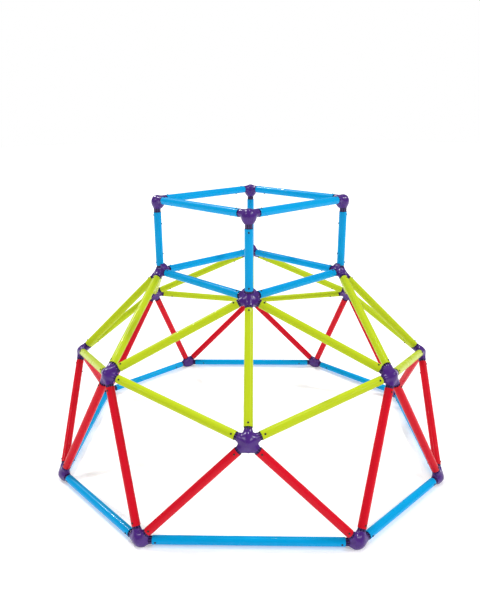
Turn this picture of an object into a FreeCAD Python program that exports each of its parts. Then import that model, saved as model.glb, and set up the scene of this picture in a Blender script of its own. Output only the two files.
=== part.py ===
import FreeCAD, Part
import math
import os

import Sketcher
from FreeCAD import Placement, Rotation, Vector

# Dome climber: purple moulded hubs joined by straight screwed steel tubes.
# +Z is up, the ground is Z = 0, the origin is under the middle of the dome,
# and the four sides of the box frame on top face -Y, +X, +Y and -X. Units mm.

os.makedirs("parts", exist_ok=True)
doc = FreeCAD.newDocument("dome_climber")

# --------------------------------------------------------------------------
# Sizes
# --------------------------------------------------------------------------
SIZES = [
    ("base_radius", "900", "centre line of the dome to the centre of a base hub"),
    ("base_spread", "26.4", "degrees from a corner direction to a base hub"),
    ("foot_height", "24", "ground to the centre of a base hub"),
    ("ring_low_radius", "805", "centre line to a low ring hub, over a corner"),
    ("ring_low_height", "408", "low ring hub above the base hubs"),
    ("ring_high_radius", "762", "centre line to a high ring hub, over a side"),
    ("ring_high_height", "536", "high ring hub above the base hubs"),
    ("box_radius", "408.5", "centre line to a hub of the box frame"),
    ("box_height", "801", "lower box hubs above the base hubs"),
    ("box_rise", "323", "lower to upper box hubs"),
    ("tube_od", "33.4", "outside diameter of every tube"),
    ("tube_wall", "1.0", "wall of every tube"),
    ("arm_reach", "=1.5 * tube_od", "hub centre to the end of a tube"),
    ("post_reach_low", "=0.85 * tube_od", "lower box hub to the end of a post"),
    ("post_reach_top", "=1.62 * tube_od", "upper box hub to the end of a post"),
    ("neck_length", "=0.29 * tube_od", "fluted neck left bare beside a tube end"),
    ("sleeve_radius", "=tube_od / 2 - 0.2", "round arm of a hub"),
    ("arm_start", "=0.12 * tube_od", "round arm begins this far past the hub centre"),
    ("sleeve_round", "=0.06 * tube_od", "rounding of the end of an arm"),
    ("core_radius", "=1.02 * tube_od", "half width of the hub body"),
    ("core_thick", "=0.56 * tube_od", "half thickness of the hub body"),
    ("core_ball", "=(core_radius^2 + core_thick^2) / (2 * core_thick)",
     "ball whose overlap with its twin makes the hub body"),
    ("core_inset", "=0.15 * tube_od", "hub body set in from the tube axes"),
    ("web_radius", "=1.06 * tube_od", "hub centre to the hollow between two arms"),
    ("web_thick", "=0.78 * tube_od", "thickness of the web between two arms"),
    ("spigot_root", "3", "part of a spigot moulded into its arm"),
    ("spigot_length", "62", "part of a spigot inside its tube"),
    ("spigot_gap", "0.1", "radial gap between spigot ribs and tube"),
    ("spigot_rise", "1.3", "height of the spigot ribs"),
    ("rib_width", "3.6", "width of a spigot rib"),
    ("rib_count", "12", "ribs around a spigot"),
    ("spigot_wall", "3.4", "wall of a spigot under its ribs"),
    ("core_solid", "=0.72 * tube_od", "hub centre to the bottom of each bore"),
    ("screw_near", "12.5", "tube end to the screw on the outer face"),
    ("screw_far", "52", "tube end to the screw on the inner face"),
    ("shank_diameter", "4", "screw shank"),
    ("shank_length", "13", "screw under its head"),
    ("head_diameter", "8", "screw head"),
    ("head_height", "2.6", "screw head"),
    ("hole_diameter", "=shank_diameter + 0.4", "hole for a screw"),
    ("tube_bore", "=tube_od - 2 * tube_wall", "inside diameter of every tube"),
    ("rib_radius", "=tube_bore / 2 - spigot_gap", "over the ribs of a spigot"),
    ("root_radius", "=rib_radius - spigot_rise", "between the ribs"),
    ("bore_radius", "=root_radius - spigot_wall", "inside a spigot"),
    ("side_spread", "=45 - base_spread", "degrees from a side to a base hub"),
    ("span_base_long", "=2 * base_radius * sin(base_spread)", "hub to hub"),
    ("span_base_short", "=2 * base_radius * sin(side_spread)", "hub to hub"),
    ("span_leg_corner",
     "=sqrt((base_radius * cos(base_spread) - ring_low_radius)^2"
     " + (base_radius * sin(base_spread))^2 + ring_low_height^2)", "hub to hub"),
    ("span_leg_side",
     "=sqrt((base_radius * cos(side_spread) - ring_high_radius)^2"
     " + (base_radius * sin(side_spread))^2 + ring_high_height^2)", "hub to hub"),
    ("span_ring",
     "=sqrt(ring_low_radius^2 + ring_high_radius^2"
     " - 2 * ring_low_radius * ring_high_radius * cos(45)"
     " + (ring_high_height - ring_low_height)^2)", "hub to hub"),
    ("span_brace_corner",
     "=sqrt((ring_low_radius - box_radius)^2"
     " + (box_height - ring_low_height)^2)", "hub to hub"),
    ("span_brace_side",
     "=sqrt(ring_high_radius^2 + box_radius^2"
     " - 2 * ring_high_radius * box_radius * cos(45)"
     " + (box_height - ring_high_height)^2)", "hub to hub"),
    ("span_box", "=box_radius * sqrt(2)", "hub to hub"),
    ("span_post", "=box_rise", "hub to hub"),
]

sheet = doc.addObject("Spreadsheet::Sheet", "Sizes")
for row, (name, value, meaning) in enumerate(SIZES, start=1):
    sheet.set("A%d" % row, name)
    sheet.set("B%d" % row, value)
    sheet.set("C%d" % row, meaning)
    sheet.setAlias("B%d" % row, name)
doc.recompute()


def size(name):
    return float(getattr(sheet, name))


def bind(item, **formulas):
    for prop, formula in formulas.items():
        item.setExpression(prop.replace("__", "."), formula)
    return item


# --------------------------------------------------------------------------
# Where the hub centres are
# --------------------------------------------------------------------------
SIDES = ("front", "right", "back", "left")
CORNERS = ("front_right", "back_right", "back_left", "front_left")
UP = Vector(0, 0, 1)


def polar(radius, turn, height):
    # turn is counted from -Y towards +X
    spot = Rotation(UP, turn).multVec(Vector(0, -radius, 0))
    return spot + UP * (height + size("foot_height"))


def hub_centres():
    # Base hubs "near_a" and "near_b" stand on either side of their corner.
    spots = {}
    for q in range(4):
        side, corner = 90 * q, 90 * q + 45
        base, spread = size("base_radius"), size("base_spread")
        spots["base_a", q] = polar(base, corner - spread, 0)
        spots["base_b", q] = polar(base, corner + spread, 0)
        spots["ring_low", q] = polar(size("ring_low_radius"), corner, size("ring_low_height"))
        spots["ring_high", q] = polar(size("ring_high_radius"), side, size("ring_high_height"))
        box, low = size("box_radius"), size("box_height")
        spots["box_low", q] = polar(box, corner, low)
        spots["box_top", q] = polar(box, corner, low + size("box_rise"))
    return spots


HUBS = hub_centres()


def tube_runs():
    # (node, tube kind, hub at the first end, hub at the second end)
    runs = []
    for q in range(4):
        before, after = (q - 1) % 4, (q + 1) % 4
        side, corner = SIDES[q], CORNERS[q]
        runs += [
            ("base_tube_long_" + corner, "base_long", ("base_a", q), ("base_b", q)),
            ("base_tube_short_" + side, "base_short", ("base_b", before), ("base_a", q)),
            ("leg_pair_" + corner, "leg_corner", ("base_a", q), ("ring_low", q)),
            ("leg_pair_" + corner, "leg_corner", ("base_b", q), ("ring_low", q)),
            ("leg_pair_" + side, "leg_side", ("base_b", before), ("ring_high", q)),
            ("leg_pair_" + side, "leg_side", ("base_a", q), ("ring_high", q)),
            ("ring_tubes_" + side, "ring", ("ring_low", before), ("ring_high", q)),
            ("ring_tubes_" + side, "ring", ("ring_low", q), ("ring_high", q)),
            ("braces_" + corner, "brace_corner", ("ring_low", q), ("box_low", q)),
            ("braces_" + corner, "brace_side", ("ring_high", q), ("box_low", q)),
            ("braces_" + corner, "brace_side", ("ring_high", after), ("box_low", q)),
            ("box_rail_low_" + side, "box", ("box_low", before), ("box_low", q)),
            ("box_rail_top_" + side, "box", ("box_top", before), ("box_top", q)),
            ("box_posts", "post", ("box_low", q), ("box_top", q)),
        ]
    return runs


RUNS = tube_runs()


def reach(kind, hub):
    # name of the size from the hub centre to the end of the tube
    if kind != "post":
        return "arm_reach"
    return "post_reach_low" if hub[0] == "box_low" else "post_reach_top"


def outward(first, second):
    # direction square to the tube that points away from the dome's middle
    axis = (second - first).normalize()
    middle = (first + second) * 0.5
    middle.z -= size("foot_height")
    return (middle - axis * middle.dot(axis)).normalize()


def aim(base, axis, face):
    # placement whose Z runs along axis and whose X points to face
    z = Vector(axis).normalize()
    y = z.cross(face).normalize()
    return Placement(base, Rotation(y.cross(z), y, z, "ZXY"))


# --------------------------------------------------------------------------
# Small builders
# --------------------------------------------------------------------------
def sketch_on(body, plane, label):
    sketch = body.newObject("Sketcher::SketchObject", label)
    origin_plane = [f for f in body.Origin.OriginFeatures if f.Role == plane][0]
    sketch.AttachmentSupport = [(origin_plane, "")]
    sketch.MapMode = "FlatFace"
    return sketch


def circle(sketch, radius, x=None, y=None):
    # a circle on the sketch origin, or at the distances x and y from it
    start = Vector(0 if x is None else 1, 0 if y is None else 1, 0)
    index = sketch.addGeometry(Part.Circle(start, Vector(0, 0, 1), 5), False)
    if x is None and y is None:
        sketch.addConstraint(Sketcher.Constraint("Coincident", index, 3, -1, 1))
    else:
        sketch.addConstraint(Sketcher.Constraint("PointOnObject", index, 3, -2))
        up = sketch.addConstraint(Sketcher.Constraint("DistanceY", -1, 1, index, 3, 1))
        sketch.setExpression("Constraints[%d]" % up, y)
    across = sketch.addConstraint(Sketcher.Constraint("Radius", index, 5))
    sketch.setExpression("Constraints[%d]" % across, radius)


def cross_hole(body, label, heights, towards_x):
    # round holes through one wall only, square to the body's Z axis
    sketch = sketch_on(body, "YZ_Plane", label + "_sketch")
    for height in heights:
        circle(sketch, "Sizes.hole_diameter / 2", y=height)
    pocket = body.newObject("PartDesign::Pocket", label)
    pocket.Profile = sketch
    pocket.Reversed = towards_x
    bind(pocket, Length="Sizes.tube_od")
    sketch.Visibility = False
    return pocket


def copy_of(source, label, place):
    item = doc.addObject("Part::Compound", label)
    item.Links = [source]
    item.Placement = place
    return item


def fuse(label, items):
    item = doc.addObject("Part::MultiFuse", label)
    item.Shapes = items
    return item


def cut(label, base, tool):
    item = doc.addObject("Part::Cut", label)
    item.Base, item.Tool = base, tool
    return item


def group(label, items):
    item = doc.addObject("Part::Compound", label)
    item.Label = label
    item.Links = items
    return item


# --------------------------------------------------------------------------
# Tubes: a drawn tube with two screw holes at each end. Its outer face is +X.
# --------------------------------------------------------------------------
TUBE_KINDS = {
    "base_long": ("arm_reach", "arm_reach"),
    "base_short": ("arm_reach", "arm_reach"),
    "leg_corner": ("arm_reach", "arm_reach"),
    "leg_side": ("arm_reach", "arm_reach"),
    "ring": ("arm_reach", "arm_reach"),
    "brace_corner": ("arm_reach", "arm_reach"),
    "brace_side": ("arm_reach", "arm_reach"),
    "box": ("arm_reach", "arm_reach"),
    "post": ("post_reach_low", "post_reach_top"),
}


SCREW_NODE = {
    "base_long": "screws_base_and_legs",
    "base_short": "screws_base_and_legs",
    "leg_corner": "screws_base_and_legs",
    "leg_side": "screws_base_and_legs",
    "ring": "screws_ring_and_braces",
    "brace_corner": "screws_ring_and_braces",
    "brace_side": "screws_ring_and_braces",
    "box": "screws_box_frame",
    "post": "screws_box_frame",
}


def tube_length(kind):
    return "Sizes.span_%s - Sizes.%s - Sizes.%s" % ((kind,) + TUBE_KINDS[kind])


def make_tube(kind):
    body = doc.addObject("PartDesign::Body", "tube_" + kind)
    section = sketch_on(body, "XY_Plane", "section_" + kind)
    circle(section, "Sizes.tube_od / 2")
    circle(section, "Sizes.tube_bore / 2")
    pad = body.newObject("PartDesign::Pad", "drawn_" + kind)
    pad.Profile = section
    bind(pad, Length=tube_length(kind))
    far_end = tube_length(kind)
    cross_hole(body, "outer_holes_" + kind,
               ["Sizes.screw_near", far_end + " - Sizes.screw_near"], True)
    body.Tip = cross_hole(body, "inner_holes_" + kind,
                          ["Sizes.screw_far", far_end + " - Sizes.screw_far"], False)
    return body


TUBES = {kind: make_tube(kind) for kind in TUBE_KINDS}


# --------------------------------------------------------------------------
# Screws: pan head, cross recess, pointed shank. The head's seat is Z = 0.
# --------------------------------------------------------------------------
def make_screw():
    shank = bind(doc.addObject("Part::Cylinder", "screw_shank"),
                 Radius="Sizes.shank_diameter / 2",
                 Height="Sizes.shank_length - Sizes.shank_diameter",
                 Placement__Base__z="Sizes.shank_diameter - Sizes.shank_length")
    point = bind(doc.addObject("Part::Cone", "screw_point"),
                 Radius1="Sizes.shank_diameter / 10",
                 Radius2="Sizes.shank_diameter / 2",
                 Height="Sizes.shank_diameter",
                 Placement__Base__z="-Sizes.shank_length")
    head = bind(doc.addObject("Part::Cylinder", "screw_head"),
                Radius="Sizes.head_diameter / 2", Height="Sizes.head_height")
    dome = bind(doc.addObject("Part::Sphere", "screw_dome"),
                Radius="Sizes.head_diameter * 0.65",
                Placement__Base__z="Sizes.head_height - Sizes.head_diameter * 0.65")
    pan = doc.addObject("Part::Common", "screw_pan")
    pan.Base, pan.Tool = head, dome
    slots = []
    for label, wide, deep in (("slot_x", 0.52, 0.13), ("slot_y", 0.13, 0.52)):
        slot = bind(doc.addObject("Part::Box", label),
                    Length="Sizes.head_diameter * %s" % wide,
                    Width="Sizes.head_diameter * %s" % deep,
                    Height="Sizes.head_height",
                    Placement__Base__x="-Sizes.head_diameter * %s / 2" % wide,
                    Placement__Base__y="-Sizes.head_diameter * %s / 2" % deep,
                    Placement__Base__z="Sizes.head_height * 0.4")
        slots.append(slot)
    whole = fuse("screw_whole", [shank, point, pan])
    return cut("screw", whole, fuse("screw_recess", slots))


SCREW = make_screw()
SEAT_GAP = 0.05


def make_screw_set(kind):
    # the four screws of one tube, in the tube's own frame
    far_end = tube_length(kind)
    spots = (("near_start", "Sizes.screw_near", 1), ("far_start", "Sizes.screw_far", -1),
             ("near_end", far_end + " - Sizes.screw_near", 1),
             ("far_end", far_end + " - Sizes.screw_far", -1))
    screws = []
    for label, height, sign in spots:
        turned = Placement(Vector(), Rotation(Vector(0, 1, 0), 90 * sign))
        screw = copy_of(SCREW, "screw_%s_%s" % (label, kind), turned)
        screws.append(bind(screw, Placement__Base__z=height,
                           Placement__Base__x="%d * (Sizes.tube_od / 2 + %s)" % (sign, SEAT_GAP)))
    return group("screw_set_" + kind, screws)


SCREW_SETS = {kind: make_screw_set(kind) for kind in TUBE_KINDS}


# --------------------------------------------------------------------------
# Hubs: one moulding each. A lens-shaped body, a round arm and a fluted hollow
# spigot for every tube, and a rounded web between neighbouring arms.
# --------------------------------------------------------------------------
WIDEST_WEB = 110
LEAST_WEB = 2
OPEN_SIDE = 80
SEAM_ASIDE = Placement(Vector(), Rotation(UP, 25))


SPIGOT_LENGTH = "Sizes.spigot_root + Sizes.neck_length + Sizes.spigot_length"


def make_spigot():
    # Starts spigot_root inside its arm; its outer face is +X. Bored later.
    body = doc.addObject("PartDesign::Body", "spigot")
    section = sketch_on(body, "XY_Plane", "spigot_section")
    circle(section, "Sizes.root_radius")
    barrel = body.newObject("PartDesign::Pad", "spigot_barrel")
    barrel.Profile = section
    bind(barrel, Length=SPIGOT_LENGTH)

    outline = sketch_on(body, "XY_Plane", "rib_section")
    corners = [Vector(13, -2, 0), Vector(15, -2, 0), Vector(15, 2, 0), Vector(13, 2, 0)]
    for i in range(4):
        outline.addGeometry(Part.LineSegment(corners[i], corners[(i + 1) % 4]), False)
    for i in range(4):
        outline.addConstraint(Sketcher.Constraint("Coincident", i, 2, (i + 1) % 4, 1))
    outline.addConstraint(Sketcher.Constraint("Horizontal", 0))
    outline.addConstraint(Sketcher.Constraint("Horizontal", 2))
    outline.addConstraint(Sketcher.Constraint("Vertical", 3))
    outline.addConstraint(Sketcher.Constraint("Symmetric", 1, 1, 1, 2, -1))
    wide = outline.addConstraint(Sketcher.Constraint("DistanceY", 1, 1, 1, 2, 4))
    root = outline.addConstraint(Sketcher.Constraint("DistanceX", -1, 1, 3, 1, 13))
    top = outline.addConstraint(Sketcher.Constraint("DistanceX", -1, 1, 1, 1, 15))
    outline.setExpression("Constraints[%d]" % wide, "Sizes.rib_width")
    outline.setExpression("Constraints[%d]" % root, "Sizes.root_radius - 1")
    outline.setExpression("Constraints[%d]" % top,
                          "sqrt(Sizes.rib_radius^2 - (Sizes.rib_width / 2)^2)")
    rib = body.newObject("PartDesign::Pad", "rib")
    rib.Profile = outline
    bind(rib, Length=SPIGOT_LENGTH + " - 2")
    ribs = body.newObject("PartDesign::PolarPattern", "ribs")
    ribs.Originals = [rib]
    ribs.Axis = ([f for f in body.Origin.OriginFeatures if f.Role == "Z_Axis"][0], [""])
    ribs.Angle = 360
    ribs.Occurrences = int(size("rib_count"))
    body.Tip = ribs
    tube_end = "Sizes.spigot_root + Sizes.neck_length"
    cross_hole(body, "outer_pilot", [tube_end + " + Sizes.screw_near"], True)
    body.Tip = cross_hole(body, "inner_pilot", [tube_end + " + Sizes.screw_far"], False)
    return body


SPIGOT = make_spigot()


def arms_of(hub):
    # (direction, outer face, name of the reach) of every tube at this hub
    arms = []
    for node, kind, first, second in RUNS:
        if hub not in (first, second):
            continue
        other = second if hub == first else first
        axis = (HUBS[other] - HUBS[hub]).normalize()
        arms.append((axis, outward(HUBS[first], HUBS[second]), reach(kind, hub)))
    return arms


def around(arms, normal):
    # the same arms in order around the hub
    start = arms[0][0] - normal * arms[0][0].dot(normal)
    ahead = normal.cross(start)

    def turn(arm):
        angle = math.degrees(math.atan2(arm[0].dot(ahead), arm[0].dot(start)))
        return angle % 360

    return sorted(arms, key=turn)


def make_lens(kind, out, across):
    # the overlap of two large balls, set in a little from the tube axes
    balls = []
    for label, sign in (("outer", -1), ("inner", 1)):
        ball = bind(doc.addObject("Part::Sphere", "%s_ball_%s" % (kind, label)),
                    Radius="Sizes.core_ball")
        offset = size("core_ball") - size("core_thick")
        middle = out * (sign * offset - size("core_inset"))
        ball.Placement = aim(middle, out, across) * SEAM_ASIDE
        balls.append(ball)
    lens = doc.addObject("Part::MultiCommon", kind + "_body")
    lens.Shapes = balls
    return lens


def make_hub(kind):
    arms = arms_of((kind, 0))
    out = Vector()
    for axis, face, length in arms:
        out -= axis
    if kind.startswith("base"):
        out = HUBS[kind, 0] * 1
        out.z = 0
    out.normalize()
    arms = around(arms, out)

    round_arms, webs, gone, spigots, bores = [], [], [], [], []
    widest = 0
    for i, (axis, face, length) in enumerate(arms):
        name = "%s_%d_" % (kind, i)
        shoulder = size(length) - size("neck_length")
        arm = bind(doc.addObject("Part::Cylinder", name + "arm"),
                   Radius="Sizes.sleeve_radius",
                   Height="Sizes.%s - Sizes.neck_length + Sizes.arm_start" % length)
        arm.Placement = aim(axis * -size("arm_start"), axis, face) * SEAM_ASIDE
        rounded = doc.addObject("Part::Fillet", name + "arm_rounded")
        rounded.Base = arm
        rounded.Edges = [(3, size("sleeve_round"), size("sleeve_round"))]
        round_arms.append(rounded)
        space = bind(doc.addObject("Part::Cylinder", name + "tube_space"),
                     Radius="Sizes.tube_od / 2 + 0.6", Height="Sizes.spigot_length")
        space.Placement = aim(axis * shoulder, axis, face)
        gone.append(space)
        place = aim(axis * (shoulder - size("spigot_root")), axis, face)
        spigots.append(copy_of(SPIGOT, name + "spigot", place))
        bore = bind(doc.addObject("Part::Cylinder", name + "bore"),
                    Radius="Sizes.bore_radius",
                    Height="Sizes.arm_reach + Sizes.spigot_length")
        bore.Placement = aim(axis * min(size("core_solid"), shoulder), axis, face)
        bores.append(bore)

        following = arms[(i + 1) % len(arms)][0]
        between = math.degrees(axis.getAngle(following))
        widest = max(widest, between)
        arms_part_at = size("sleeve_radius") / math.sin(math.radians(between / 2))
        if between < WIDEST_WEB and arms_part_at < size("web_radius") - LEAST_WEB:
            web = bind(doc.addObject("Part::Torus", name + "web"),
                       Radius1="Sizes.web_radius - Sizes.web_thick / 2",
                       Radius2="Sizes.web_thick / 2")
            web.Angle3 = between
            web.Placement = aim(Vector(), axis.cross(following), axis)
            webs.append(web)

    if kind.startswith("base"):
        ground = doc.addObject("Part::Box", kind + "_ground")
        bind(ground, Length="Sizes.arm_reach * 4", Width="Sizes.arm_reach * 4",
             Height="Sizes.arm_reach", Placement__Base__x="-Sizes.arm_reach * 2",
             Placement__Base__y="-Sizes.arm_reach * 2",
             Placement__Base__z="-Sizes.arm_reach - Sizes.foot_height")
        gone.append(ground)

    star = fuse(kind + "_star", round_arms)
    webbed = fuse(kind + "_webbed", [star] + webs) if webs else star
    lump = webbed
    if widest > OPEN_SIDE:
        lump = fuse(kind + "_lump", [webbed, make_lens(kind, out, arms[0][0])])
    trimmed = cut(kind + "_trimmed", lump, fuse(kind + "_gone", gone))
    whole = fuse(kind + "_whole", [trimmed] + spigots)
    return cut(kind + "_hub", whole, fuse(kind + "_bores", bores))


# --------------------------------------------------------------------------
# The assembly: every hub is its own node, tubes go by the hub they meet at.
# --------------------------------------------------------------------------
def hub_node(kind, q):
    corner, side, after = CORNERS[q], SIDES[q], SIDES[(q + 1) % 4]
    names = {
        "base_a": "base_hub_%s_%s" % (side, after),
        "base_b": "base_hub_%s_%s" % (after, side),
        "ring_low": "ring_hub_low_" + corner,
        "ring_high": "ring_hub_high_" + side,
        "box_low": "box_hub_low_" + corner,
        "box_top": "box_hub_top_" + corner,
    }
    return names[kind]


def add_hubs():
    nodes = []
    for kind in ("base_a", "base_b", "ring_low", "ring_high", "box_low", "box_top"):
        master = make_hub(kind)
        for q in range(4):
            place = Placement(HUBS[kind, q], Rotation(UP, 90 * q))
            nodes.append(copy_of(master, hub_node(kind, q), place))
    return nodes


def add_tubes_and_screws():
    tubes, screws = {}, {}
    for number, (node, kind, first, second) in enumerate(RUNS):
        start, end = HUBS[first], HUBS[second]
        axis = (end - start).normalize()
        if abs((end - start).Length - size("span_" + kind)) > 1e-6:
            raise ValueError("span of %s does not agree with the hubs" % node)
        place = aim(start + axis * size(reach(kind, first)), axis, outward(start, end))
        tubes.setdefault(node, []).append(
            copy_of(TUBES[kind], "placed_tube_%d" % number, place))
        screws.setdefault(SCREW_NODE[kind], []).append(
            copy_of(SCREW_SETS[kind], "placed_screws_%d" % number, place))
    return [group(name, items) for name, items in {**tubes, **screws}.items()]


NODES = add_hubs() + add_tubes_and_screws()
doc.recompute()

for item in doc.Objects:
    if "Invalid" in item.State or "Error" in item.State:
        raise RuntimeError("%s did not compute" % item.Label)
for node in NODES:
    if node.Shape.isNull() or not node.Shape.isValid():
        raise RuntimeError("%s has no valid shape" % node.Label)
    if "hub" in node.Label and len(node.Shape.Solids) != 1:
        raise RuntimeError("%s is not one moulding" % node.Label)
    node.Shape.exportStep("parts/%s.step" % node.Label)
    print(node.Label, len(node.Shape.Solids), round(node.Shape.Volume / 1000, 1))
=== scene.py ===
import math

import bmesh
import bpy
import numpy as np
from mathutils import Matrix, Vector


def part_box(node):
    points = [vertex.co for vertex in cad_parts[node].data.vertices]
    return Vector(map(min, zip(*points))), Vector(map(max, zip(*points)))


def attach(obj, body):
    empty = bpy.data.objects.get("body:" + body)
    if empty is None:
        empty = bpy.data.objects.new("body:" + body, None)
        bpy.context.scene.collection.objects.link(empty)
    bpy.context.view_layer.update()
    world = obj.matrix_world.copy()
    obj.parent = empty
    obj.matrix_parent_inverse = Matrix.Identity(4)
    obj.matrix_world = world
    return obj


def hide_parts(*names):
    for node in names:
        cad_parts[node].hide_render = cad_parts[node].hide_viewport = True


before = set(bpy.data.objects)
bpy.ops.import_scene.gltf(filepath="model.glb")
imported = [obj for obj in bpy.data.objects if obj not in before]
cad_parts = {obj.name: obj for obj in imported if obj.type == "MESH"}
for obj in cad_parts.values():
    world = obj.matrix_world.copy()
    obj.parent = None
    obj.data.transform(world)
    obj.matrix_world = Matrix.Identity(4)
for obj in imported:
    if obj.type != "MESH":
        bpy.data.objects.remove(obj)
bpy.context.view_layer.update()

# ---------------------------------------------------------------------------
# Base tubes
# Eight thin drawn steel tubes in sky blue, laid in a ring on the ground. Each
# is cut square, its edge is rolled, and it slips over the necks of two hubs.
# ---------------------------------------------------------------------------
MM = 0.001
TUBE_RADIUS = 16.7 * MM
TUBE_WALL = 1.0 * MM
TUBE_EDGE = 0.35 * MM
TUBE_FACETS = 72
HANDLED_END = 60 * MM
SAME_POINT = 0.01 * MM
END_SLICE = 0.4 * MM


def solids_of(node):
    """The vertices of each separate solid of a node."""
    bm = bmesh.new()
    bm.from_mesh(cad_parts[node].data)
    bmesh.ops.remove_doubles(bm, verts=bm.verts, dist=SAME_POINT)
    bm.verts.index_update()
    taken, solids = set(), []
    for first in bm.verts:
        if first.index in taken:
            continue
        taken.add(first.index)
        joined = [first]
        for vert in joined:
            for edge in vert.link_edges:
                other = edge.other_vert(vert)
                if other.index not in taken:
                    taken.add(other.index)
                    joined.append(other)
        solids.append(np.array([vert.co for vert in joined]))
    bm.free()
    return solids


def end_centres(points):
    """The middle of the first and last ring of a tube or a screw."""
    middle = points.mean(0)
    axis = np.linalg.svd(points - middle, full_matrices=False)[2][0]
    for _ in range(3):
        along = (points - middle) @ axis
        first = points[along < along.min() + END_SLICE].mean(0)
        last = points[along > along.max() - END_SLICE].mean(0)
        axis = (last - first) / np.linalg.norm(last - first)
    return first, last


def unit(vector):
    return vector / np.linalg.norm(vector)


def tubes_of(node):
    """The two ends of each tube, and the side of it that faces out of the dome."""
    tubes = []
    for points in solids_of(node):
        first, last = end_centres(points)
        axis, middle = unit(last - first), (first + last) / 2
        tubes.append((first, last, unit(middle - axis * (middle @ axis))))
    return tubes


def tube_mesh(name, length):
    """A hollow tube along Z, with how far each point is from an end stored on it."""
    inside, corner = TUBE_RADIUS - TUBE_WALL, TUBE_EDGE * 0.3
    profile = [(0.0, inside + TUBE_EDGE), (0.0, TUBE_RADIUS - TUBE_EDGE),
               (corner, TUBE_RADIUS - corner), (TUBE_EDGE, TUBE_RADIUS)]
    profile += [(z, TUBE_RADIUS) for z in (4 * MM, HANDLED_END / 2, HANDLED_END)]
    profile += [(length - z, r) for z, r in reversed(profile)]
    profile += [(length - TUBE_EDGE, inside), (TUBE_EDGE, inside)]
    turn = np.linspace(0, 2 * math.pi, TUBE_FACETS, endpoint=False)
    points = [(r * math.cos(t), r * math.sin(t), z) for z, r in profile for t in turn]
    faces = []
    for i in range(len(profile)):
        a, b = i * TUBE_FACETS, (i + 1) % len(profile) * TUBE_FACETS
        for j in range(TUBE_FACETS):
            k = (j + 1) % TUBE_FACETS
            faces.append((a + j, a + k, b + k, b + j))
    mesh = bpy.data.meshes.new(name)
    mesh.from_pydata(points, [], faces)
    mesh.polygons.foreach_set("use_smooth", [True] * len(faces))
    away = [min(z, length - z, HANDLED_END) / HANDLED_END for z, r in profile for t in turn]
    mesh.attributes.new("from_end", "FLOAT", "POINT").data.foreach_set("value", away)
    mesh.update()
    return mesh


def aimed(base, axis, face):
    """A place whose Z runs along axis and whose X points to face."""
    y = np.cross(axis, face)
    place = Matrix(np.column_stack([np.cross(y, axis), y, axis]).tolist()).to_4x4()
    place.translation = base
    return place


def linear(hex_colour):
    """An sRGB hex colour as linear red, green, blue and alpha."""
    parts = [int(hex_colour[i:i + 2], 16) / 255 for i in (1, 3, 5)]
    return [p / 12.92 if p <= 0.04045 else ((p + 0.055) / 1.055) ** 2.4 for p in parts] + [1]


def add_node(tree, kind, inputs, **settings):
    """Adds a shader node with its settings, and fills or links its inputs."""
    node = tree.nodes.new("ShaderNode" + kind)
    for name, value in settings.items():
        setattr(node, name, value)
    for name, value in inputs.items():
        if isinstance(value, bpy.types.NodeSocket):
            tree.links.new(value, node.inputs[name])
        else:
            node.inputs[name].default_value = value
    return node


def new_finish(name):
    material = bpy.data.materials.new(name)
    material.use_nodes = True
    material.node_tree.nodes.clear()
    return material, material.node_tree


# The peel of a real coat is near 1 mm across. It is drawn coarser so that it shows.
PEEL_ACROSS = 3.5 * MM
TONE_ACROSS = 60 * MM


def powder_coat(name, tone, deep_tone):
    """Polyester powder coat baked on steel: a smooth glossy film with a shallow
    orange peel, a thin clear highlight, and a deeper tone where hands rub the ends."""
    material, tree = new_finish("powder_coated_steel_" + name)
    place = add_node(tree, "TexCoord", {}).outputs["Object"]
    peel = add_node(tree, "TexNoise", {"Vector": place, "Scale": 1 / PEEL_ACROSS, "Detail": 2})
    cloud = add_node(tree, "TexNoise", {"Vector": place, "Scale": 1 / TONE_ACROSS, "Detail": 3})
    end = add_node(tree, "Attribute", {}, attribute_name="from_end")
    rubbed = add_node(tree, "MapRange", {"Value": end.outputs["Fac"], "To Min": 1.0,
                                         "To Max": 0.45})
    marks = add_node(tree, "Math", {0: rubbed.outputs[0], 1: cloud.outputs[0]},
                     operation="MULTIPLY")
    colour = add_node(tree, "Mix", {0: marks.outputs[0], 6: linear(tone),
                                    7: linear(deep_tone)}, data_type="RGBA")
    gloss = add_node(tree, "MapRange", {"Value": cloud.outputs[0], "To Min": 0.24,
                                        "To Max": 0.31})
    film = add_node(tree, "Bump", {"Height": peel.outputs[0], "Strength": 0.1,
                                   "Distance": 0.04 * MM})
    shader = add_node(tree, "BsdfPrincipled", {
        "Base Color": colour.outputs[2], "Roughness": gloss.outputs[0],
        "Normal": film.outputs[0], "IOR": 1.45, "Specular IOR Level": 0.07,
        "Coat Weight": 0.1, "Coat Roughness": 0.05})
    add_node(tree, "OutputMaterial", {"Surface": shader.outputs[0]})
    return material


def add_piece(name, mesh, place, material, node):
    piece = bpy.data.objects.new(name, mesh)
    piece.matrix_world = place
    bpy.context.scene.collection.objects.link(piece)
    if not mesh.materials:
        mesh.materials.append(material)
    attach(piece, "root")
    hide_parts(node)


def add_tubes(node, coat):
    for letter, (first, last, face) in zip("abcd", tubes_of(node)):
        name = node + "_" + letter
        mesh = tube_mesh(name, np.linalg.norm(last - first))
        add_piece(name, mesh, aimed(first, unit(last - first), face), coat, node)


SKY_BLUE = powder_coat("sky_blue", "#00a6e6", "#0097d6")
for side in ("front", "right", "back", "left"):
    add_tubes("base_tube_short_" + side, SKY_BLUE)
for corner in ("front_right", "back_right", "back_left", "front_left"):
    add_tubes("base_tube_long_" + corner, SKY_BLUE)


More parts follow.
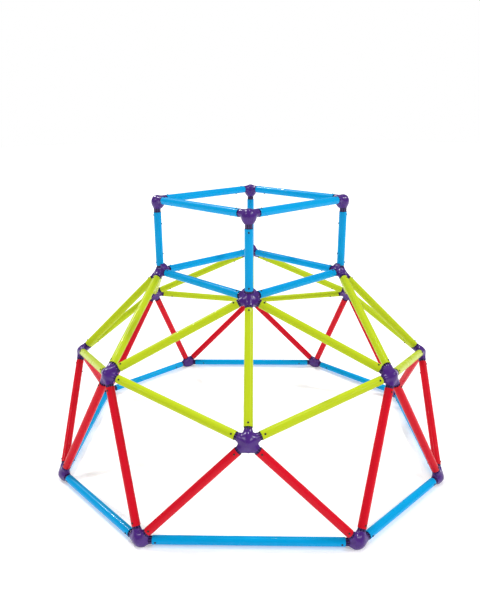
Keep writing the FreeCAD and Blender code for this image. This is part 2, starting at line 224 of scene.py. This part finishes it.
# ---------------------------------------------------------------------------
# Base hubs
# Eight polypropylene mouldings that stand on the ground. A rounded body flows
# into a round arm for each tube, with flat webs between the arms, and a fluted
# neck runs on into the tube, which is screwed to it.
# ---------------------------------------------------------------------------
ARM_RADIUS = 16.5 * MM
SHOULDER_EASE = 0.5 * MM
NECK_LENGTH = 9.7 * MM
LONG_NECK_LENGTH = 14.5 * MM
NECK_INSIDE_TUBE = 7 * MM
NECK_VALLEY = 12.4 * MM
NECK_CREST = 15.3 * MM
FLUTES = 10
FLUTE_SHARPNESS = 2.2
FLUTE_SHIFT = 0.4
WEB_HALF_THICKNESS = 8.5 * MM
WEB_RADIUS = 33.5 * MM
OPEN_SIDE_RADIUS = 40 * MM
OPEN_SIDE = 80       # degrees between two arms, from which their web is larger
WIDEST_WEB = 115     # degrees between two arms, over which there is no web
HOLLOW = 2.8 * MM
NECK_HOLLOW = 0.25 * MM
TUBE_SPACE = 17.4 * MM
FOOT_HEIGHT = 24 * MM
FOOT_EDGE = 1.2 * MM
SKIN_STEP = 1.1 * MM
PULLS = 5
LONGEST_PULL = 0.6
PROBE = 0.1 * MM
TUBES = [tube for node in sorted(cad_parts)
         if "hub" not in node and "screws" not in node for tube in tubes_of(node)]


def arms_of(hub):
    """(direction, outer face, distance to the tube's end) of each tube at a hub, and its centre."""
    low, high = (np.array(corner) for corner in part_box(hub))
    ends = []
    for first, last, face in TUBES:
        for near, far in ((first, last), (last, first)):
            if (near > low).all() and (near < high).all():
                ends.append((near, unit(far - near), face))
    square = [np.eye(3) - np.outer(axis, axis) for _, axis, _ in ends]
    centre = np.linalg.solve(sum(square), sum(s @ e[0] for s, e in zip(square, ends)))
    return [(axis, face, (end - centre) @ axis) for end, axis, face in ends], centre


def flow_together(distances, hollow):
    """Union of shapes with a soft hollow between them."""
    stack = np.stack(distances) / -hollow
    top = stack.max(0)
    return -hollow * (top + np.log(np.exp(stack - top).sum(0)))


def narrowed(distances, edge):
    """What shapes have in common, with its edges eased."""
    return -flow_together([-d for d in distances], edge)


def round_arm(points, axis, shoulder):
    """An arm that starts as a ball at the hub's centre and ends in a flat shoulder."""
    along = points @ axis
    off_axis = points - np.outer(np.maximum(along, 0), axis)
    return narrowed([np.linalg.norm(off_axis, axis=1) - ARM_RADIUS, along - shoulder],
                    SHOULDER_EASE)


def tube_space(points, axis, shoulder):
    """The room that the tube's end takes beyond the shoulder."""
    along = points @ axis
    across = np.linalg.norm(points - np.outer(along, axis), axis=1)
    return np.maximum(across - TUBE_SPACE, shoulder - along)


def rounded_body(points, out, half_width, half_thickness, inset):
    """A flattened ball, its thin way along out, set back from the hub's centre."""
    moved = points + out * inset
    high = moved @ out
    wide = np.linalg.norm(moved - np.outer(high, out), axis=1)
    scaled = np.hypot(wide / half_width, high / half_thickness)
    slope = np.hypot(wide / half_width ** 2, high / half_thickness ** 2)
    return scaled * (scaled - 1) / np.maximum(slope, 1e-9)


def web(points, first, second):
    """The flat wall between two arms, cut to a round edge."""
    gap = math.degrees(math.acos(first @ second))
    across = unit(np.cross(first, second))
    high = points @ across
    wide = np.linalg.norm(points - np.outer(high, across), axis=1)
    radius = OPEN_SIDE_RADIUS if gap > OPEN_SIDE else WEB_RADIUS
    return np.maximum.reduce([
        np.abs(high) - WEB_HALF_THICKNESS, wide - radius,
        -(points @ np.cross(across, first)), -(points @ np.cross(second, across))])


def neighbours(arms, out):
    """The pairs of arms that lie side by side round the hub, with a web between them."""
    side = unit(np.cross(out, arms[0][0]))
    order = sorted(arms, key=lambda arm: math.atan2(arm[0] @ side,
                                                    arm[0] @ np.cross(side, out)))
    pairs = [(a[0], b[0]) for a, b in zip(order, order[1:] + order[:1])]
    return [(a, b) for a, b in pairs
            if math.degrees(math.acos(np.clip(a @ b, -1, 1))) < WIDEST_WEB]


def fluted_neck(points, axis, face, end):
    """A round neck from the hub's centre, with shallow flutes along it."""
    along = points @ axis
    flat = points - np.outer(along, axis)
    across = np.linalg.norm(flat, axis=1)
    turn = np.arctan2(flat @ np.cross(axis, face), flat @ face)
    crest = 0.5 + 0.5 * np.tanh(FLUTE_SHARPNESS * np.cos(FLUTES * turn) - FLUTE_SHIFT)
    radius = NECK_VALLEY + (NECK_CREST - NECK_VALLEY) * crest
    return np.maximum(across - radius, np.abs(along - end / 2) - end / 2)


def skin_mesh(name, distance, low, high, step):
    """A quad mesh over the surface where the distance is nought."""
    rows = [np.arange(low[i], high[i] + step, step) for i in range(3)]
    grid = np.stack(np.meshgrid(*rows, indexing="ij"), -1)
    solid = (distance(grid.reshape(-1, 3)) < 0).reshape(grid.shape[:3])
    corners = sum(solid[i:solid.shape[0] - 1 + i, j:solid.shape[1] - 1 + j,
                        k:solid.shape[2] - 1 + k].astype(int)
                  for i in (0, 1) for j in (0, 1) for k in (0, 1))
    crossed = (corners > 0) & (corners < 8)
    number = np.full(crossed.shape, -1)
    number[crossed] = np.arange(crossed.sum())
    points = grid[:-1, :-1, :-1][crossed] + step / 2
    faces = []
    for a in range(3):
        order = (a, (a + 1) % 3, (a + 2) % 3)
        solid_a, number_a = solid.transpose(order), number.transpose(order)
        leaving = solid_a[:-1, 1:-1, 1:-1] & ~solid_a[1:, 1:-1, 1:-1]
        entering = ~solid_a[:-1, 1:-1, 1:-1] & solid_a[1:, 1:-1, 1:-1]
        quad = np.stack([number_a[:, :-1, :-1], number_a[:, 1:, :-1],
                         number_a[:, 1:, 1:], number_a[:, :-1, 1:]], -1)
        faces += [quad[leaving], quad[entering][:, ::-1]]
    for _ in range(PULLS):
        here = distance(points)
        slope = np.stack([(distance(points + shift) - distance(points - shift)) / (2 * PROBE)
                          for shift in np.eye(3) * PROBE], -1)
        move = slope * (here / np.maximum((slope ** 2).sum(1), 0.2))[:, None]
        points = points - np.clip(move, -LONGEST_PULL * step, LONGEST_PULL * step)
    mesh = bpy.data.meshes.new(name)
    mesh.from_pydata(points.tolist(), [], np.concatenate(faces).tolist())
    mesh.polygons.foreach_set("use_smooth", [True] * len(mesh.polygons))
    mesh.update()
    return mesh, points


# Painted shade on the crests of the neck flutes, as a share of the painted shade in the valleys.
CREST_PAINTED_SHADE = 0.25


def painted_shade_in_necks(points, arms, shoulders):
    """The painted shade of the necks: nought on the body and arms, and up to one in the valleys of
    the necks.
    """
    neck_shade_amount = np.zeros(len(points))
    for (axis, _, _), shoulder in zip(arms, shoulders):
        along = points @ axis
        across = np.linalg.norm(points - np.outer(along, axis), axis=1)
        valley = np.clip((NECK_CREST - across) / (NECK_CREST - NECK_VALLEY), 0, 1)
        valley = CREST_PAINTED_SHADE + (1 - CREST_PAINTED_SHADE) * valley
        on_neck = (along > shoulder + 0.3 * MM) & (across < NECK_CREST + 0.4 * MM)
        neck_shade_amount = np.where(on_neck, np.maximum(neck_shade_amount, valley), neck_shade_amount)
    return neck_shade_amount


# Real spark grain is near 0.1 mm across. It is drawn coarser so that it shows.
GRAIN_ACROSS = 0.9 * MM
FLOW_ACROSS = 18 * MM


def moulded_plastic():
    """Polypropylene, injection moulded in a lightly spark-eroded tool: an even
    grained skin with soft highlights, and painted shade on the necks, darkest in the flute valleys."""
    material, tree = new_finish("moulded_polypropylene_purple")
    place = add_node(tree, "TexCoord", {}).outputs["Object"]
    cloud = add_node(tree, "TexNoise", {"Vector": place, "Scale": 1 / FLOW_ACROSS, "Detail": 3})
    grain = add_node(tree, "TexNoise", {"Vector": place, "Scale": 1 / GRAIN_ACROSS, "Detail": 2})
    # Painted shade: the necks are mixed towards a near-black purple, most of all in the flute
    # valleys.
    neck = add_node(tree, "Attribute", {}, attribute_name="painted_neck_shade")
    skin = add_node(tree, "Mix", {0: cloud.outputs[0], 6: linear("#40196f"),
                                  7: linear("#4f2384")}, data_type="RGBA")
    colour = add_node(tree, "Mix", {0: neck.outputs["Fac"], 6: skin.outputs[2],
                                    7: linear("#1f0c38")}, data_type="RGBA")
    sheen = add_node(tree, "MapRange", {"Value": cloud.outputs[0], "To Min": 0.2,
                                        "To Max": 0.29})
    bump = add_node(tree, "Bump", {"Height": grain.outputs[0], "Strength": 0.3,
                                   "Distance": 0.05 * MM})
    shader = add_node(tree, "BsdfPrincipled", {
        "Base Color": colour.outputs[2], "Roughness": sheen.outputs[0],
        "Normal": bump.outputs[0], "IOR": 1.49, "Specular IOR Level": 0.38,
        "Subsurface Weight": 0.04, "Subsurface Radius": (1.5 * MM, 1 * MM, 2 * MM),
        "Subsurface Scale": 1.0})
    add_node(tree, "OutputMaterial", {"Surface": shader.outputs[0]})
    return material


PLASTIC = moulded_plastic()


def same_neck(axis):
    return NECK_LENGTH


def add_hubs(kind, names, body_size, neck_length=same_neck, webbed=True, has_foot=False,
             lean=1.0):
    """Hubs of one kind, which follow each other round the dome in quarter turns."""
    arms, centre = arms_of(names[0])
    out = unit(centre * (1, 1, 0)) if has_foot else unit(
        -sum(axis for axis, _, _ in arms) * (1, 1, lean))
    pairs = neighbours(arms, out) if webbed else []
    shoulders = [reach - neck_length(axis) for axis, _, reach in arms]

    def distance(points):
        body, spaces, necks = [rounded_body(points, out, *body_size)], [], []
        body += [web(points, first, second) for first, second in pairs]
        for (axis, face, reach), shoulder in zip(arms, shoulders):
            body.append(round_arm(points, axis, shoulder))
            spaces.append(tube_space(points, axis, shoulder))
            necks.append(fluted_neck(points, axis, face, reach + NECK_INSIDE_TUBE))
        skin = np.maximum(flow_together(body, HOLLOW), -np.minimum.reduce(spaces))
        skin = flow_together([skin] + necks, NECK_HOLLOW)
        if has_foot:
            skin = narrowed([skin, -FOOT_HEIGHT - points[:, 2]], FOOT_EDGE)
        return skin

    balls = [(np.zeros(3), OPEN_SIDE_RADIUS)] + [
        (axis * (reach + NECK_INSIDE_TUBE), ARM_RADIUS) for axis, _, reach in arms]
    mesh, points = skin_mesh(kind, distance,
                             np.min([middle - size for middle, size in balls], 0) - 3 * SKIN_STEP,
                             np.max([middle + size for middle, size in balls], 0) + 3 * SKIN_STEP,
                             SKIN_STEP)
    # The painted shade of the necks is stored on each point of the mesh.
    mesh.attributes.new("painted_neck_shade", "FLOAT", "POINT").data.foreach_set(
        "value", painted_shade_in_necks(points, arms, shoulders))
    for quarter, name in enumerate(names):
        place = Matrix.Translation(arms_of(name)[1]) @ Matrix.Rotation(
            math.radians(90 * quarter), 4, "Z")
        add_piece(name + "_moulding", mesh, place, PLASTIC, name)


def base_neck(axis):
    return LONG_NECK_LENGTH if abs(axis[2]) < 0.1 else NECK_LENGTH


for kind, names in (
        ("base_hub", ["front_right", "right_back", "back_left", "left_front"]),
        ("base_hub_mirrored", ["right_front", "back_right", "left_back", "front_left"])):
    add_hubs(kind, ["base_hub_" + name for name in names], (34 * MM, 23 * MM, 5 * MM),
             neck_length=base_neck, has_foot=True)


# ---------------------------------------------------------------------------
# Legs
# Sixteen thin steel tubes in bright red, two from each base hub, that lean in
# and carry the ring. They are cut, rolled and powder coated like the base.
# ---------------------------------------------------------------------------
BRIGHT_RED = powder_coat("bright_red", "#da1429", "#c90f21")
for side in ("front", "right", "back", "left"):
    add_tubes("leg_pair_" + side, BRIGHT_RED)
for corner in ("front_right", "back_right", "back_left", "front_left"):
    add_tubes("leg_pair_" + corner, BRIGHT_RED)


# ---------------------------------------------------------------------------
# Lower ring hubs
# Four polypropylene mouldings, one below each corner of the box frame, with
# five arms each: two for legs, two for ring tubes and one for a brace.
# ---------------------------------------------------------------------------
add_hubs("ring_hub_low", ["ring_hub_low_" + corner for corner in (
    "front_right", "back_right", "back_left", "front_left")], (31 * MM, 20 * MM, 4 * MM))


# ---------------------------------------------------------------------------
# Upper ring hubs
# Four polypropylene mouldings, one at the middle of each side of the ring,
# with six arms each: two for legs, two for ring tubes and two for braces.
# ---------------------------------------------------------------------------
add_hubs("ring_hub_high", ["ring_hub_high_" + side for side in (
    "front", "right", "back", "left")], (29 * MM, 19 * MM, 5 * MM))


# ---------------------------------------------------------------------------
# Ring tubes and braces
# Eight steel tubes in lime green zigzag round the dome from hub to hub, and
# twelve more rise from them to the box frame. They are made like the legs.
# ---------------------------------------------------------------------------
LIME_GREEN = powder_coat("lime_green", "#c2d423", "#b6c81e")
for side in ("front", "right", "back", "left"):
    add_tubes("ring_tubes_" + side, LIME_GREEN)
for corner in ("front_right", "back_right", "back_left", "front_left"):
    add_tubes("braces_" + corner, LIME_GREEN)


# ---------------------------------------------------------------------------
# Lower box frame
# Four polypropylene mouldings with six arms each, at the corners of a square
# of sky blue rails. They take the braces from below and a post on top.
# ---------------------------------------------------------------------------
add_hubs("box_hub_low", ["box_hub_low_" + corner for corner in (
    "front_right", "back_right", "back_left", "front_left")], (29 * MM, 20 * MM, 3 * MM))
for side in ("front", "right", "back", "left"):
    add_tubes("box_rail_low_" + side, SKY_BLUE)


# ---------------------------------------------------------------------------
# Posts and upper box frame
# Four sky blue posts carry a second square of rails to sit on or hang from.
# Its four corner mouldings are balls with three arms and no webs.
# ---------------------------------------------------------------------------
POST_NECK_LENGTH = 19 * MM
RAIL_NECK_LENGTH = 5 * MM


def top_neck(axis):
    return POST_NECK_LENGTH if axis[2] < -0.9 else RAIL_NECK_LENGTH


add_tubes("box_posts", SKY_BLUE)
add_hubs("box_hub_top", ["box_hub_top_" + corner for corner in (
    "front_right", "back_right", "back_left", "front_left")], (29.5 * MM, 29.5 * MM, 12 * MM),
    neck_length=top_neck, webbed=False, lean=2.8)
for side in ("front", "right", "back", "left"):
    add_tubes("box_rail_top_" + side, SKY_BLUE)


# ---------------------------------------------------------------------------
# Screws
# Black coated steel screws with a pan head and a cross recess, two at each
# tube end: one on the outer face near the end, one further on at the inner.
# ---------------------------------------------------------------------------
SHANK_LENGTH = 13 * MM
SHANK_RADIUS = 2 * MM
HEAD_RADIUS = 3.7 * MM
HEAD_HEIGHT = 2.6 * MM
DOME_RADIUS = 5.2 * MM
SEAT_SINK = 0.35 * MM
RECESS_REACH = 2.1 * MM
RECESS_HALF_WIDTH = 0.5 * MM
RECESS_DEPTH = 1.6 * MM
HEAD_EASE = 0.25 * MM
SHANK_IN_HUB = 6 * MM
HEAD_SEARCH = 4.6 * MM
SCREW_STEP = 0.34 * MM
SCREW_TURN = 2.4     # radians from one screw's cross to the next


def screw_shape(points):
    """A pan head over Z = 0 with a cross recess, and the top of a shank under it."""
    x, y, z = points.T
    across = np.hypot(x, y)
    dome = np.hypot(across, z - (HEAD_HEIGHT - DOME_RADIUS)) - DOME_RADIUS
    head = narrowed([across - HEAD_RADIUS, dome, -SEAT_SINK - z], HEAD_EASE)
    recess = [np.maximum.reduce([np.abs(a) - RECESS_REACH, np.abs(b) - RECESS_HALF_WIDTH,
                                 HEAD_HEIGHT - RECESS_DEPTH + across * 0.5 - z])
              for a, b in ((x, y), (y, x))]
    head = np.maximum(head, -np.minimum(recess[0], recess[1]))
    shank = np.maximum(across - SHANK_RADIUS, np.maximum(z - 1 * MM, -z - SHANK_IN_HUB))
    return np.minimum(head, shank)


# The speckle of a real coat is near 0.2 mm across. It is drawn coarser so that it shows.
SPECKLE_ACROSS = 0.6 * MM


def black_electro_coat():
    """Carbon steel with a black electro-coat: dark and low in sheen, a thin glint on edges."""
    material, tree = new_finish("black_coated_screw_steel")
    place = add_node(tree, "TexCoord", {}).outputs["Object"]
    grain = add_node(tree, "TexNoise", {"Vector": place, "Scale": 1 / SPECKLE_ACROSS, "Detail": 2})
    colour = add_node(tree, "Mix", {0: grain.outputs[0], 6: linear("#201f22"),
                                    7: linear("#3a3835")}, data_type="RGBA")
    sheen = add_node(tree, "MapRange", {"Value": grain.outputs[0], "To Min": 0.35,
                                        "To Max": 0.55})
    shader = add_node(tree, "BsdfPrincipled", {
        "Base Color": colour.outputs[2], "Metallic": 0.55, "Roughness": sheen.outputs[0]})
    add_node(tree, "OutputMaterial", {"Surface": shader.outputs[0]})
    return material


def add_screws(node, mesh, coat):
    for number, points in enumerate(solids_of(node)):
        ends = end_centres(points)
        wide = [np.linalg.norm(points - end, axis=1) < HEAD_SEARCH for end in ends]
        tip, head = ends if wide[1].sum() > wide[0].sum() else ends[::-1]
        axis = unit(head - tip)
        face = unit(np.cross(axis, (0.31, 0.62, 0.72)))
        place = aimed(tip + axis * SHANK_LENGTH, axis, face)
        add_piece("%s_%03d" % (node, number), mesh,
                  place @ Matrix.Rotation(number * SCREW_TURN, 4, "Z"), coat, node)


SCREW_COAT = black_electro_coat()
SCREW_MESH = skin_mesh("screw", screw_shape, (-4.6 * MM, -4.6 * MM, -6.6 * MM),
                       (4.6 * MM, 4.6 * MM, 3.2 * MM), SCREW_STEP)[0]
for node in ("screws_base_and_legs", "screws_ring_and_braces", "screws_box_frame"):
    add_screws(node, SCREW_MESH, SCREW_COAT)


# ---------------------------------------------------------------------------
# Studio
# A plain pale floor in a white room with five distant soft lamps, and the
# camera at the eye of a person who faces one corner of the box frame.
# ---------------------------------------------------------------------------
HAZE_ACROSS = 250 * MM


def white_acrylic_table():
    """Matt white acrylic, lit a little from below: shadows on it are faint, with no gloss."""
    material, tree = new_finish("white_acrylic_table")
    place = add_node(tree, "TexCoord", {}).outputs["Object"]
    haze = add_node(tree, "TexNoise", {"Vector": place, "Scale": 1 / HAZE_ACROSS, "Detail": 4})
    colour = add_node(tree, "Mix", {0: haze.outputs[0], 6: linear("#f1f1f2"),
                                    7: linear("#f4f4f4")}, data_type="RGBA")
    shader = add_node(tree, "BsdfPrincipled", {
        "Base Color": colour.outputs[2], "Roughness": 0.9,
        "Emission Color": linear("#ffffff"), "Emission Strength": 0.3})
    add_node(tree, "OutputMaterial", {"Surface": shader.outputs[0]})
    return material


FLOOR_REACH = 30
floor_mesh = bpy.data.meshes.new("floor")
floor_mesh.from_pydata([(-FLOOR_REACH, -FLOOR_REACH, 0), (FLOOR_REACH, -FLOOR_REACH, 0),
                        (FLOOR_REACH, FLOOR_REACH, 0), (-FLOOR_REACH, FLOOR_REACH, 0)],
                       [], [(0, 1, 2, 3)])
floor_mesh.materials.append(white_acrylic_table())
floor = bpy.data.objects.new("floor", floor_mesh)
bpy.context.scene.collection.objects.link(floor)

# The room is pure white behind the object, and gives it an even, weaker light.
ROOM_LIGHT = 0.31
world = bpy.data.worlds.new("studio")
world.use_nodes = True
room = world.node_tree
room.nodes.clear()
seen = add_node(room, "LightPath", {}).outputs["Is Camera Ray"]
strength = add_node(room, "MapRange", {"Value": seen, "To Min": ROOM_LIGHT, "To Max": 1.0})
glow = add_node(room, "Background", {"Color": linear("#ffffff"),
                                     "Strength": strength.outputs[0]})
add_node(room, "OutputWorld", {"Surface": glow.outputs[0]})
bpy.context.scene.world = world
bpy.context.scene.view_settings.view_transform = "Standard"


def soft_sun(name, bearing, height, strength, wide):
    """A distant soft lamp: its bearing and height in degrees, and how wide it looks."""
    lamp = bpy.data.lights.new(name, "SUN")
    lamp.energy, lamp.angle = strength, math.radians(wide)
    light = bpy.data.objects.new(name, lamp)
    light.rotation_euler = (math.radians(90 - height), 0, math.radians(bearing))
    bpy.context.scene.collection.objects.link(light)


soft_sun("left", 272, 46, 1.35, 5)
soft_sun("right", 130, 42, 1.0, 5)
soft_sun("front_left", 345, 38, 0.6, 14)
soft_sun("front_right", 98, 38, 0.55, 14)
soft_sun("top", 200, 80, 0.65, 8)

# The view was solved with the circle through the base hubs as the unit of length.
HUB_CIRCLE = 0.9
CAMERA_SPOT = Vector((-0.0511, -2.838, 1.6301)) * HUB_CIRCLE + Vector((0, 0, FOOT_HEIGHT))
CAMERA_TURN = math.radians(45) + 0.0271
CAMERA_PITCH = 0.3058
CAMERA_ROLL = 0.0074
CAMERA_LENS = 36 * 580.7 / 601

camera_data = bpy.data.cameras.new("camera")
camera_data.lens = CAMERA_LENS
camera = bpy.data.objects.new("camera", camera_data)
right, ahead, up = Vector((1, 0, 0)), Vector((0, 1, 0)), Vector((0, 0, 1))
look = ahead * math.cos(CAMERA_PITCH) - up * math.sin(CAMERA_PITCH)
over = ahead * math.sin(CAMERA_PITCH) + up * math.cos(CAMERA_PITCH)
across = right * math.cos(CAMERA_ROLL) - over * math.sin(CAMERA_ROLL)
over = right * math.sin(CAMERA_ROLL) + over * math.cos(CAMERA_ROLL)
pose = Matrix((across, over, -look)).transposed().to_4x4()
pose.translation = CAMERA_SPOT
camera.matrix_world = Matrix.Rotation(CAMERA_TURN, 4, "Z") @ pose
bpy.context.scene.collection.objects.link(camera)
bpy.context.scene.camera = camera
